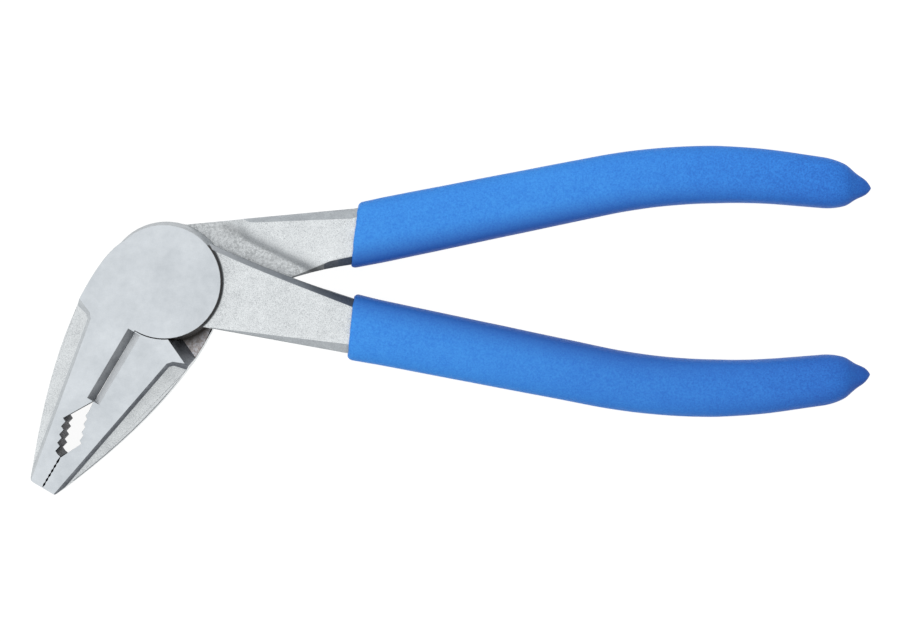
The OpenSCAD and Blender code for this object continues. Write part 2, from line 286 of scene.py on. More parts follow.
def crossing_steel():
    """Floor and ramp where the levers cross, with painted shade on the floor before the ramp, in the hollow
    and along the inner edge.
    """
    floor_fade = 2.5
    hollow_middle = 1.2
    edge_slope, edge_drop = 0.267, 5.66
    wedge_start, wedge_growth = 21.5, 0.13

    def colour(tree):
        x, y = flat_place(tree)
        ahead = x * math.cos(RAMP_DIRECTION) + y * math.sin(RAMP_DIRECTION) - RAMP_START
        beside = y * math.cos(RAMP_DIRECTION) - x * math.sin(RAMP_DIRECTION)
        grain = spread(noise(tree, 0.4, 2), 0.35, 0.65)
        # Painted shade: on the floor before the ramp's foot, in the hollow, and in a wedge along the inner
        # edge
        floor = spread(ahead, floor_fade, 0) * (0.1 + grain * 0.22)
        hollow = (1 - (ahead - hollow_middle).unsigned() * 0.7).clamped()
        inner_end, outer_end = spread(beside, -12, -7), spread(beside, -3, -5.5)
        hollow = hollow * outer_end * inner_end * 0.32
        from_edge = y - x * edge_slope + edge_drop
        wedge = ((x - wedge_start) * wedge_growth - from_edge) * 5
        return laid_over(tree, blasted_tone(tree), (floor + hollow).at_least(wedge.clamped() * 0.85))

    return blasted_finish("crossing_steel", colour)


def edge_steel(name="edge_steel", dark=(0.40, 0.42, 0.44), light=(0.56, 0.59, 0.61)):
    """Long outer bevels of the handles and the outer jaw's step: blasted, but duller than the flat sides."""
    def colour(tree):
        grain = noise(tree, 0.24, 2, 0.6) * 0.6 + noise(tree, 2.2) * 0.4
        return colours(tree, spread(grain, 0.34, 0.66), (0, dark), (1, light))

    return finish(name, 1, colour, uneven(0.48, 0.64, 0.4, 1), bumps(0.26, 3, 0.6), 0.02, 0.6)


def inner_edge_steel():
    """Inner edges of the handles: grey at the joint, and slate towards the grips, a painted shade where the
    handles face each other.
    """
    grey_until, slate_from = 12, 34

    def colour(tree):
        x, _ = flat_place(tree)
        grain = full_range(noise(tree, 0.3, 2) * 0.6 + noise(tree, 2) * 0.4)
        return colours(tree, spread(x, grey_until, slate_from) * 0.8 + grain * 0.2,
                       (0, (0.50, 0.52, 0.54)), (0.5, (0.30, 0.32, 0.35)), (1, (0.10, 0.125, 0.16)))

    return finish("inner_edge_steel", 1, colour, uneven(0.46, 0.62, 0.6), bumps(0.3, 3, 0.6), 0.02, 0.6)


def crevice_shade():
    """Near-black painted shade for corners, walls behind the jaws and sides around the disc."""
    def colour(tree):
        grain = noise(tree, 0.3, 2) * 0.5 + noise(tree, 1.5) * 0.5
        return colours(tree, full_range(grain), (0, (0.036, 0.033, 0.033)), (1, (0.100, 0.092, 0.088)))

    return finish("crevice_shade", 0.2, colour, uneven(0.62, 0.78, 0.5), bumps(0.3, 2), 0.02, 0.5,
                  Specular_IOR_Level=0.3)


def slate_shade_steel(name="slate_shade_steel", lit_tip=False):
    """Dark slate that paints shade on the sides that get it, lighter towards a jaw's tip as a painted
    highlight.
    """
    lit_from, lit_at = 37.5, 41
    tip_light_tone = (0.62, 0.64, 0.66)

    def colour(tree):
        grain = noise(tree, 0.4, 2) * 0.5 + noise(tree, 3) * 0.5
        slate = colours(tree, full_range(grain), (0, (0.11, 0.12, 0.135)), (1, (0.25, 0.265, 0.29)))
        if not lit_tip:
            return slate
        # Lighter towards the tip: a painted highlight
        x, y = flat_place(tree)
        to_tip = -(x * math.cos(JAW_DIRECTION)) - y * math.sin(JAW_DIRECTION)
        return laid_over(tree, slate, spread(to_tip, lit_from, lit_at), tip_light_tone)

    return finish(name, 1, colour, uneven(0.38, 0.54, 1.2), bumps(0.4, 3), 0.03, 0.6)


def hardened_steel():
    """Teeth and serration, darkened by the hardening."""
    def colour(tree):
        return colours(tree, full_range(noise(tree, 0.9)), (0, (0.020, 0.023, 0.032)),
                       (1, (0.085, 0.095, 0.115)))

    streaks = bumps(0.5, 2, stretch=(1, 1, 0.1))
    return finish("hardened_steel", 0.3, colour, uneven(0.45, 0.61, 0.6), streaks, 0.02, 0.5,
                  Specular_IOR_Level=0.25)


def lapped_steel():
    """Faces that the levers rub on: machined, with a brown and blue tint, and a painted shadow that darkens
    them towards the discs.
    """
    shadow_outside, dark_inside = 14.2, 11.6
    disc_shadow_tone = (0.03, 0.027, 0.025)

    def colour(tree):
        mottle = noise(tree, 1.8, 2) * 0.6 + noise(tree, 0.3, 2) * 0.4
        tint = colours(tree, spread(mottle, 0.36, 0.64), (0, (0.20, 0.16, 0.145)),
                       (0.5, (0.42, 0.39, 0.385)), (1, (0.60, 0.63, 0.70)))
        return laid_over(tree, tint, spread(pivot_distance(tree), shadow_outside, dark_inside), disc_shadow_tone)

    return finish("lapped_steel", 1, colour, uneven(0.32, 0.50, 0.8), bumps(0.3, 2), 0.02, 0.5)


def cutter_steel(name="cutter_steel", dark=(0.58, 0.60, 0.62), light=(0.68, 0.70, 0.72)):
    """Bevels of the wire cutter, finely ground."""
    def colour(tree):
        return colours(tree, full_range(noise(tree, 2)), (0, dark), (1, light))

    return finish(name, 0.15, colour, uneven(0.42, 0.52, 1), bumps(0.2, 2), 0.006, 0.5,
                  Specular_IOR_Level=0.3)


def rivet_steel():
    """Flush end of the rivet, with the faint rings of its turning."""
    def colour(tree):
        cloud = noise(tree, 2.5) * 0.7 + noise(tree, 0.3, 1) * 0.3
        return colours(tree, full_range(cloud), (0, (0.52, 0.545, 0.57)), (1, (0.70, 0.72, 0.74)))

    def height(tree):
        rings = wire(tree, "ShaderNodeTexWave", {
            "Vector": object_place(tree), "Scale": 320, "Distortion": 0.4, "Detail": 1}, output="Fac",
            wave_type="RINGS", rings_direction="Z", wave_profile="SIN")
        return rings * 0.7 + noise(tree, 0.2, 1) * 0.3

    return finish("rivet_steel", 1, colour, uneven(0.28, 0.42, 1.5), height, 0.008, 0.5)


def dipped_vinyl():
    """Blue coat: paler at the mouth and darker to the end as painted light, and darker by the mesh's painted
    shade.
    """
    paler_run = 98
    shade_tone = (0.017, 0.090, 0.42)

    def colour(tree):
        x, _ = flat_place(tree)
        to_end = spread(x, GRIP["Mouth"], GRIP["Mouth"] + paler_run)
        grain = noise(tree, 0.32, 2, 0.6) * 0.7 + noise(tree, 3) * 0.15 + noise(tree, 22) * 0.15
        speck = spread(grain, 0.36, 0.64)
        blue = colours(tree, 0.41 + speck * 0.65 - to_end * to_end * to_end * 0.6,
                       (0, (0.018, 0.158, 0.64)), (0.5, (0.034, 0.256, 0.84)), (1, (0.056, 0.350, 0.95)))
        shade = wire(tree, "ShaderNodeAttribute", output="Fac", attribute_name="shade")
        return laid_over(tree, blue, shade, shade_tone)

    def height(tree):
        return noise(tree, 0.55, 2, 0.5) * 0.7 + noise(tree, 1.6, 1) * 0.3

    return finish("dipped_vinyl", 0, colour, uneven(0.46, 0.60, 0.7, 2), height, 0.09, 0.55,
                  Specular_IOR_Level=0.3)


STEEL = {
    "ground": ground_steel(), "blasted": blasted_steel(), "scaled": slate_shade_steel(),
    "teeth": hardened_steel(), "lap": lapped_steel(), "cutter": cutter_steel(), "edge": edge_steel(),
    "inner": inner_edge_steel(), "crevice": crevice_shade(), "ramp": crossing_steel(),
    # jaw_step is painted shade on the inner jaw's step, step a lighter copy of the edge finish on the outer
    # jaw's; cutter_shade is the cutter bevel's painted-shade copy
    "jaw_step": slate_shade_steel("jaw_step_steel", lit_tip=True),
    "step": edge_steel("step_steel", (0.52, 0.545, 0.56), (0.66, 0.685, 0.70)),
    "cutter_shade": cutter_steel("cutter_shade_steel", (0.25, 0.26, 0.275), (0.36, 0.375, 0.39)),
}
FINISH_ORDER = list(STEEL)


# Pieces in the scene

SAME_PLACE = 0.002


def held(value, low, high):
    return min(max(value, low), high)


def placed(name, data):
    """A new object in the scene."""
    made = bpy.data.objects.new(name, data)
    bpy.context.scene.collection.objects.link(made)
    return made


def show(name, mesh, body, *nodes, slot):
    """Puts a finished piece at the origin, where it rides on its body and stands for its nodes."""
    piece = placed(name, mesh)
    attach(piece, body)
    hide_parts(*nodes)


def plain_mesh(carrier, name):
    """The mesh that an object's modifiers make. The object itself is removed."""
    bpy.context.view_layer.update()
    graph = bpy.context.evaluated_depsgraph_get()
    mesh = bpy.data.meshes.new_from_object(carrier.evaluated_get(graph))
    bpy.data.objects.remove(carrier)
    mesh.name = name
    return mesh


def settled(name, mesh, kind, **settings):
    """The mesh with a modifier applied to it."""
    carrier = placed(name, mesh)
    modifier = carrier.modifiers.new(kind.title(), kind)
    for key, value in settings.items():
        setattr(modifier, key, value)
    return plain_mesh(carrier, name)


# Ramps of the levers

RAMP_ROW = 0.35
RAMP_COLUMN = 0.6


def uphill(inward):
    """Direction up a lever's ramp."""
    return Vector((math.cos(RAMP_DIRECTION), -inward * math.sin(RAMP_DIRECTION), 0))


def ramp_lines(place, inward):
    """Distance up the ramp from its foot, the ramp's run there, and how fast that run widens outwards."""
    y = -inward * place.y
    ahead = place.x * math.cos(RAMP_DIRECTION) + y * math.sin(RAMP_DIRECTION) - RAMP_START
    beside = y * math.cos(RAMP_DIRECTION) - place.x * math.sin(RAMP_DIRECTION)
    past_corner = max(beside - RAMP_CORNER, 0) / RAMP_FADE
    return ahead, RAMP_RUN + RAMP_WIDENING * past_corner ** 2, 2 * RAMP_WIDENING * past_corner / RAMP_FADE


def ramp_height(place, inward):
    """Height of the ramp at a place: hollow at the foot, steep, then rounded to the top."""
    ahead, run, _ = ramp_lines(place, inward)
    share = held(ahead / run, 0, 1)
    height = RAMP_FOOT + RAMP_RISE * (1 - (1 - share) ** RAMP_ROUND) ** RAMP_HOLLOW
    return height if inward < 0 else HEAD_THICKNESS - height


def ramp_normal(place, inward):
    """Where the ramp points at a place, from the slopes of its height."""
    ahead, run, widening = ramp_lines(place, inward)
    share = held(ahead / run, 0, 1)
    hollowing = RAMP_HOLLOW * (1 - (1 - share) ** RAMP_ROUND) ** (RAMP_HOLLOW - 1)
    steepness = RAMP_RISE * hollowing * RAMP_ROUND * (1 - share) ** (RAMP_ROUND - 1) / run
    sideways = -steepness * share * widening
    tilt_x = steepness * math.cos(RAMP_DIRECTION) - sideways * math.sin(RAMP_DIRECTION)
    tilt_y = steepness * math.sin(RAMP_DIRECTION) + sideways * math.cos(RAMP_DIRECTION)
    return Vector((-tilt_x, inward * tilt_y, -inward)).normalized()


def on_ramp(face, inward):
    """Whether a face is one of the ramp's steps, near to its curve and past its foot."""
    if face.material_index != FINISH_ORDER.index("ramp"):
        return False
    centre = face.calc_center_median()
    past_foot = ramp_lines(centre, inward)[0] > 0
    near_curve = abs(centre.z - ramp_height(centre, inward)) < 0.15
    points_alike = face.normal.dot(ramp_normal(centre, inward)) > 0.85
    return past_foot and near_curve and points_alike


def curve_ramp(mesh, inward):
    """Divides the steps of the ramp finely and lays them on its curve."""
    bm = bmesh.new()
    bm.from_mesh(mesh)
    beside = Vector((-math.sin(RAMP_DIRECTION), -inward * math.cos(RAMP_DIRECTION), 0))
    rows, columns = range(1, 44), range(-24, 14)
    cuts = [(uphill(inward), RAMP_START + RAMP_ROW * row) for row in rows]
    cuts += [(beside, RAMP_CORNER + RAMP_COLUMN * column) for column in columns]
    for direction, distance in cuts:
        faces = [face for face in bm.faces if on_ramp(face, inward)]
        lines = {edge for face in faces for edge in face.edges}
        corners = {corner for face in faces for corner in face.verts}
        bmesh.ops.bisect_plane(bm, geom=[*faces, *lines, *corners], dist=0.01, plane_co=direction * distance,
                               plane_no=direction)
    faces = [face for face in bm.faces if on_ramp(face, inward)]
    for corner in {corner for face in faces for corner in face.verts}:
        if not any(abs(face.normal.z) > 0.999 and not on_ramp(face, inward) for face in corner.link_faces):
            corner.co.z = ramp_height(corner.co, inward)
    bm.to_mesh(mesh)
    bm.free()


# Finishes on the levers, and the shares of their real tilt with which bright bevels and ramps are shaded

CUTTER_TILT = 0.15
RAMP_TILT = 0.42


class JawAxes:
    """Place and direction in a jaw's own axes: along its parting line, and away from it."""

    def __init__(self, turn):
        self.along = Vector((math.cos(JAW_DIRECTION), math.sin(JAW_DIRECTION), 0))
        self.away = turn * Vector((-math.sin(JAW_DIRECTION), math.cos(JAW_DIRECTION), 0))

    def of(self, vector):
        return vector.dot(self.along), vector.dot(self.away)


def lever_finish(face, axes, inward):
    """Which finish a face of a lever has, from where it lies and where it points; some are painted shade."""
    centre = face.calc_center_median()
    normal = face.normal
    along, away = axes.of(centre)
    points_along, points_away = axes.of(normal)
    points_inward = normal.y * inward
    reach = centre.xy.length
    rise = abs(normal.z)
    flat = rise > 0.99
    upright = rise < 0.6
    on_handle = along < 0
    at_surface = centre.z < 0.02 or centre.z > HEAD_THICKNESS - 0.02
    at_lap = abs(centre.z - LAP_HEIGHT) < 0.08 and (along > 0 or reach < RAMP_START)
    in_cutter = abs(away) < 1.5 and CUTTER_START - 0.2 < along < CUTTER_END + 0.1
    in_bite = CUTTER_END - 0.2 < along < JAW_LENGTH - 0.1 and points_away < 0.3
    behind_jaw = along > 4 and away < 12.5 and points_along < -0.5
    at_ramp = abs(centre.z - ramp_height(centre, inward)) < 0.4 and (flat or reach > DISC_REACH)
    before_ramp = centre.dot(uphill(inward)) < RAMP_START
    points_downhill = normal.dot(uphill(inward)) < -0.3 * normal.xy.length - 0.005
    if flat and at_surface:
        return "ground"
    if flat and at_lap:
        return "lap"
    if in_cutter and rise < 0.9:
        return "cutter_shade" if normal.x > 0 else "cutter"
    if in_bite and rise < 0.1:
        return "teeth"
    # Painted shade around the disc: near-black on sides that face the pivot or point right, dark slate on
    # those that don't point inwards
    if reach < DISC_REACH and upright:
        faces_pivot = normal.xy.dot(centre.xy) < 0.5 * reach
        if faces_pivot or normal.x - points_inward > 0.1:
            return "crevice"
        return "edge" if points_inward > 0.2 else "scaled"
    # Painted shade on the walls behind the jaws
    if behind_jaw and upright:
        return "crevice"
    # Jaws' steps: painted shade on the inner jaw's, a lighter tone on the outer jaw's
    if along > 6 and 0.3 < rise < 0.8:
        return "jaw_step" if axes.away.x > 0 else "step"
    if on_handle and rise > 0.3 and at_ramp and (before_ramp or points_downhill):
        return "ramp"
    if on_handle and rise < 0.9 and points_inward > 0.35 and normal.x > -0.15:
        return "inner"
    if on_handle and 0.3 < rise < 0.9 and points_inward < -0.35:
        return "edge"
    return "blasted"


def darken_edges(mesh, axes, inward):
    """Paints shade on the inner jaw's outer edge where it points right, and on the inner edge beside the
    ramp.
    """
    for face in mesh.polygons:
        place, normal = face.center / MM, face.normal
        rise = abs(normal.z)
        on_jaw = place.y < -8 and axes.of(place)[1] > 4
        beside_ramp = (18 < place.x < 34 and ramp_lines(place, inward)[0] > 0
                       and abs(place.z - ramp_height(place, inward)) < 0.7)
        if on_jaw and normal.x > 0.2 and 0.1 < rise < 0.7:
            face.material_index = FINISH_ORDER.index("jaw_step")
        elif beside_ramp and normal.y * inward > 0.3 and normal.x > -0.1 and 0.1 < rise < 0.95:
            face.material_index = FINISH_ORDER.index("scaled")


def flattened(normal, share):
    return Vector((normal.x * share, normal.y * share, normal.z)).normalized()


def soften_shading(mesh, inward):
    """Shades the ramp as a soft curve, the cutter's bright bevels flatter, and slivers by their faces."""
    normals = [corner.vector.copy() for corner in mesh.corner_normals]
    for face in mesh.polygons:
        name = FINISH_ORDER[face.material_index]
        for loop in face.loop_indices:
            if name == "cutter":
                normals[loop] = flattened(face.normal, CUTTER_TILT)
            elif name == "ramp":
                curved = ramp_normal(mesh.vertices[mesh.loops[loop].vertex_index].co / MM, inward)
                if curved.dot(face.normal) > 0.9:
                    normals[loop] = flattened(curved, RAMP_TILT)
            elif normals[loop].dot(face.normal) < 0.6:
                normals[loop] = face.normal
    mesh.normals_split_custom_set(normals)


# Rounded edges of the levers

WIDEST_EDGE = 0.45
TIGHT_EDGE = 0.02
EDGE_WIDTH = {"teeth": 0.04, "cutter": 0.05, "lap": 0.1, "ground": 0.1, "scaled": 0.16, "blasted": 0.25,
              "edge": 0.25, "inner": 0.2, "crevice": 0.25, "ramp": 0.25, "step": 0.2, "cutter_shade": 0.05,
              "jaw_step": 0.16}
FOLD_ANGLE = math.radians(140)
FOLD_REACH = 0.6
ROUNDING_PASSES = 4


def is_filleted(edge, finishes):
    """Whether an edge is the hollow along the disc's foot."""
    return not edge.is_convex and {finishes[face] for face in edge.link_faces} == {"crevice", "blasted"}


def runs_from_ramp(edge, finishes):
    """Whether an edge lies in the ramp, or runs on from it along the handle's outer bevel."""
    beside = {finishes[face] for face in edge.link_faces}
    at_ramp = any(finishes[face] == "ramp" for corner in edge.verts for face in corner.link_faces)
    return beside == {"ramp"} or at_ramp and "edge" in beside


def edge_widths(edges, finishes, tight):
    """How far each edge is rounded, clear of the edges beside it and alike along each line of edges."""
    straight_on, clear_share, widening, passes = -0.85, 0.3, 0.05, 40
    widths = {}
    onward = {}
    for edge in edges:
        pair = {finishes[face] for face in edge.link_faces}
        width = min(EDGE_WIDTH[name] for name in pair)
        if is_filleted(edge, finishes) or pair == {"ramp", "inner"}:
            width = WIDEST_EDGE
        if edge in tight:
            width = TIGHT_EDGE
        for corner in edge.verts:
            ahead = (edge.other_vert(corner).co - corner.co).normalized()
            for other in corner.link_edges:
                turn = ahead.dot((other.other_vert(corner).co - corner.co).normalized())
                if turn < straight_on and other in edges:
                    onward.setdefault(edge, []).append(other)
                elif other is not edge and turn > straight_on:
                    width = min(width, clear_share * other.calc_length())
        widths[edge] = width
    for _ in range(passes):
        for edge, others in onward.items():
            reached = [widths[other] + widening * other.calc_length() for other in others]
            widths[edge] = min(widths[edge], *reached)
    return widths


def distance_to(edge, place):
    start, end = (corner.co for corner in edge.verts)
    ahead = (end - start).normalized()
    along = held((place - start).dot(ahead), 0, edge.calc_length())
    return (place - start - ahead * along).length


def folds(mesh):
    """Places where a mesh folds back on itself."""
    bm = bmesh.new()
    bm.from_mesh(mesh)
    places = [(edge.verts[0].co + edge.verts[1].co) / 2 for edge in bm.edges
              if edge.calc_face_angle(0) > FOLD_ANGLE]
    bm.free()
    return places


def rounded(bm, name, edges, finishes):
    """The mesh with its edges rounded, and hardly rounded where the roundings would run into each other."""
    weights = bm.edges.layers.float["bevel_weight_edge"]
    sharp = bpy.data.meshes.new(name)
    for finish_name in FINISH_ORDER:
        sharp.materials.append(STEEL[finish_name])
    tight = set()
    for _ in range(ROUNDING_PASSES):
        for edge, width in edge_widths(edges, finishes, tight).items():
            edge[weights] = width / WIDEST_EDGE
        bm.to_mesh(sharp)
        mesh = settled(name, sharp, "BEVEL", limit_method="WEIGHT", width=WIDEST_EDGE, segments=3,
                       use_clamp_overlap=False, loop_slide=True, profile=0.5)
        places = folds(mesh)
        tight |= {edge for edge in edges if any(distance_to(edge, place) < FOLD_REACH for place in places)}
    return mesh


# Levers

SAME_PLANE = math.radians(0.4)
SHARP_ANGLE = math.radians(25)
CREASE_ANGLE = math.radians(42)
CUTTER_CLEARANCE = 0.001


def on_cutting_edge(corner, axes):
    along, away = axes.of(corner.co)
    return (abs(away) < 0.1 and CUTTER_START - 0.3 < along < CUTTER_END + 0.1
            and abs(corner.co.z - CUTTER_HEIGHT) < 0.02)


def close_cutter(bm, axes):
    """Brings the cutting edge to the parting line, where the two edges meet in the closed jaws."""
    for corner in bm.verts:
        if on_cutting_edge(corner, axes):
            corner.co -= axes.away * (axes.of(corner.co)[1] - CUTTER_CLEARANCE)


def close_bore(bm):
    """Takes the rivet's bore out of the front lever, whose disc shows no seam around it."""
    bore_reach = RIVET_RADIUS + RIVET_FLARE + 0.3
    bore = [face for face in bm.faces if max(corner.co.xy.length for corner in face.verts) < bore_reach
            and abs(face.normal.z) < 0.95]
    bmesh.ops.delete(bm, geom=bore, context="FACES")
    rims = [edge for edge in bm.edges if edge.is_boundary]
    bmesh.ops.holes_fill(bm, edges=rims, sides=0)


def forged_lever(node, body, turn, inward, solid_disc):
    """A lever from its solid, with a finish on each face, rounded edges and a curved ramp."""
    name = node + "_forged"
    bm = bmesh.new()
    bm.from_mesh(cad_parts[node].data)
    bmesh.ops.scale(bm, vec=(1 / MM, 1 / MM, 1 / MM), verts=bm.verts)
    bmesh.ops.remove_doubles(bm, verts=bm.verts, dist=SAME_PLACE)
    bmesh.ops.dissolve_degenerate(bm, edges=bm.edges, dist=SAME_PLACE)
    if solid_disc:
        close_bore(bm)
    bmesh.ops.dissolve_limit(bm, angle_limit=SAME_PLANE, verts=bm.verts, edges=bm.edges)
    bm.normal_update()
    axes = JawAxes(turn)
    close_cutter(bm, axes)
    finishes = {face: lever_finish(face, axes, inward) for face in bm.faces}
    bm.edges.layers.float.new("bevel_weight_edge")
    for face in bm.faces:
        face.smooth = True
        face.material_index = FINISH_ORDER.index(finishes[face])
    sharp = {edge for edge in bm.edges if edge.calc_face_angle(0) > SHARP_ANGLE
             and not all(on_cutting_edge(corner, axes) for corner in edge.verts)
             and (edge.is_convex or is_filleted(edge, finishes)) and not runs_from_ramp(edge, finishes)}
    limits = [(min(axis), max(axis)) for axis in zip(*(corner.co for corner in bm.verts))]
    mesh = rounded(bm, name, sharp, finishes)
    bm.free()
    for corner in mesh.vertices:
        corner.co = [held(place, low, high) for place, (low, high) in zip(corner.co, limits)]
    curve_ramp(mesh, inward)
    mesh.transform(Matrix.Scale(MM, 4))
    mesh.set_sharp_from_angle(angle=CREASE_ANGLE)
    darken_edges(mesh, axes, inward)
    mesh = settled(name, mesh, "WEIGHTED_NORMAL", keep_sharp=True, weight=50)
    soften_shading(mesh, inward)
    show(name, mesh, body, node, slot="forged_steel")


# Rivet

def flush_rivet():
    """The rivet's shank and the flush head that shows in the rear disc, turned from its half section."""
    rim = 0.07
    head = RIVET_RADIUS + RIVET_FLARE
    half = [
        (0, 0), (head - rim, 0), (head - 0.3 * rim, 0.3 * rim), (head - 0.9 * rim, 1.1 * rim),
        (RIVET_RADIUS, RIVET_HEAD), (RIVET_RADIUS, LAP_HEIGHT - rim), (RIVET_RADIUS - rim, LAP_HEIGHT),
        (0, LAP_HEIGHT)]
    bm = bmesh.new()
    line = [bm.verts.new((radius * MM, 0, height * MM)) for radius, height in half]
    section = [bm.edges.new(pair) for pair in zip(line, line[1:])]
    bmesh.ops.spin(bm, geom=line + section, cent=(0, 0, 0), axis=(0, 0, 1), angle=math.tau, steps=128,
                   use_merge=True)
    bmesh.ops.remove_doubles(bm, verts=bm.verts, dist=1e-7)
    bmesh.ops.recalc_face_normals(bm, faces=bm.faces)
    for face in bm.faces:
        face.smooth = True
    mesh = bpy.data.meshes.new("flush_rivet")
    bm.to_mesh(mesh)
    bm.free()
    mesh.materials.append(rivet_steel())
    mesh.set_sharp_from_angle(angle=math.radians(30))
    show("flush_rivet", mesh, "front_half", "pivot_rivet", slot="rivet_steel")


# Grips, and the shares of the sweep's rows at which the outer skin, the lip and the skin on the bar end

SWEEP_ROWS = 190
SWEEP_COLUMNS = 97
SKIN_END = 0.62
LIP_END = 0.70
BAR_END = 0.97
LIP_TURN = math.radians(112)
TIP_POWER = 0.78
WAIST_START = 0.45
WAIST_DEPTH = 0.085


def handle_line(size, x):
    """Middle line of a handle at x, its lean there, and where its bend is highest."""
    slope, end_slope = (size[name] * math.radians(1) for name in ("Slope", "End Slope"))
    radius = size["Bend Radius"]
    bend_top = size["Bend Start"] + radius * slope.sine()
    bend_end = bend_top + radius * end_slope.sine()
    rise = slope.math("TANGENT")
    fall = end_slope.math("TANGENT")
    top = size["Offset"] + size["Bend Start"] * rise + radius * (1 - slope.cosine())
    past = x - bend_top
    arc = top - radius + (radius * radius - past * past).math("SQRT")
    tail = top - radius * (1 - end_slope.cosine()) - (x - bend_end) * fall
    before = x.below(size["Bend Start"])
    within = x.below(bend_end)
    middle = choose(before, size["Offset"] + x * rise, choose(within, arc, tail))
    lean = choose(before, slope, choose(within, -(past / radius).math("ARCSINE"), -end_slope))
    return middle, lean, bend_top


def grip_width(size, x, bend_top, tip_start):
    """Width of a grip at x, which narrows in two straight stretches."""
    front_part = ((x - size["Mouth"]) / (bend_top - size["Mouth"])).clamped()
    back_part = ((x - bend_top) / (tip_start - bend_top)).clamped()
    return (size["Front Width"] + (size["Bend Width"] - size["Front Width"]) * front_part
            + (size["Back Width"] - size["Bend Width"]) * back_part)


def grip_swell(size, x, turn, tip_start):
    """Share of its section that a grip keeps: rounded to a waisted point, and a little lumpy all over."""
    tip_part = ((x - tip_start) / size["Tip"]).clamped()
    waist = ((tip_part - WAIST_START) * 2).clamped() * math.pi
    taper = (1 - tip_part * tip_part).at_least(0) ** TIP_POWER - waist.sine() * waist.sine() * WAIST_DEPTH
    lump_place = vector_of(x * 0.09, turn.cosine() + size["Seed"], turn.sine())
    lump = wire(x.tree, "ShaderNodeTexNoise", {"Vector": lump_place, "Scale": 1, "Detail": 1}, output="Fac")
    return taper.at_least(0) * (1 - lump * size["Lumps"])


def mouth_pull(size, x, turn, from_middle):
    """How far the mouth's edge is pulled along the grip: tilted and a little wavy."""
    waviness, fade = 1.6, 0.2
    wave_place = vector_of(turn.cosine() * waviness, turn.sine() * waviness, size["Seed"])
    wave = wire(x.tree, "ShaderNodeTexNoise", {
        "Vector": wave_place, "Scale": 1.3, "Detail": 2}, output="Fac")
    near_mouth = (1 - (x - size["Mouth"]) * fade).clamped()
    tilt = from_middle * size["Mouth Tilt"] * size["Side"]
    return (tilt + (wave - 0.5) * size["Mouth Wave"]) * near_mouth


def coat_shade(size, x, turn):
    """Painted shade on the coat: on its inner side and its point, and more of it on the grip given extra
    shade.
    """
    across = turn.cosine().signed_power(size["Roundness"])
    inner_side, outer_side = spread(-across, 0.1, 0.9) ** 1.5, spread(across, 0.2, 1)
    past_bend, to_end, at_point = spread(x, 75, 110), spread(x, 90, 125), spread(x, 127, 132)
    shade_boost = size["Extra Shade"]
    inner_shade = inner_side * (0.9 - past_bend * 0.45 - shade_boost * 0.27)
    outer_shade = outer_side * to_end * shade_boost * 0.48
    whole_shade = spread(x, 36, 86) * shade_boost * 0.25 + at_point * 0.4
    return (inner_shade.at_least(outer_shade) + whole_shade).clamped()


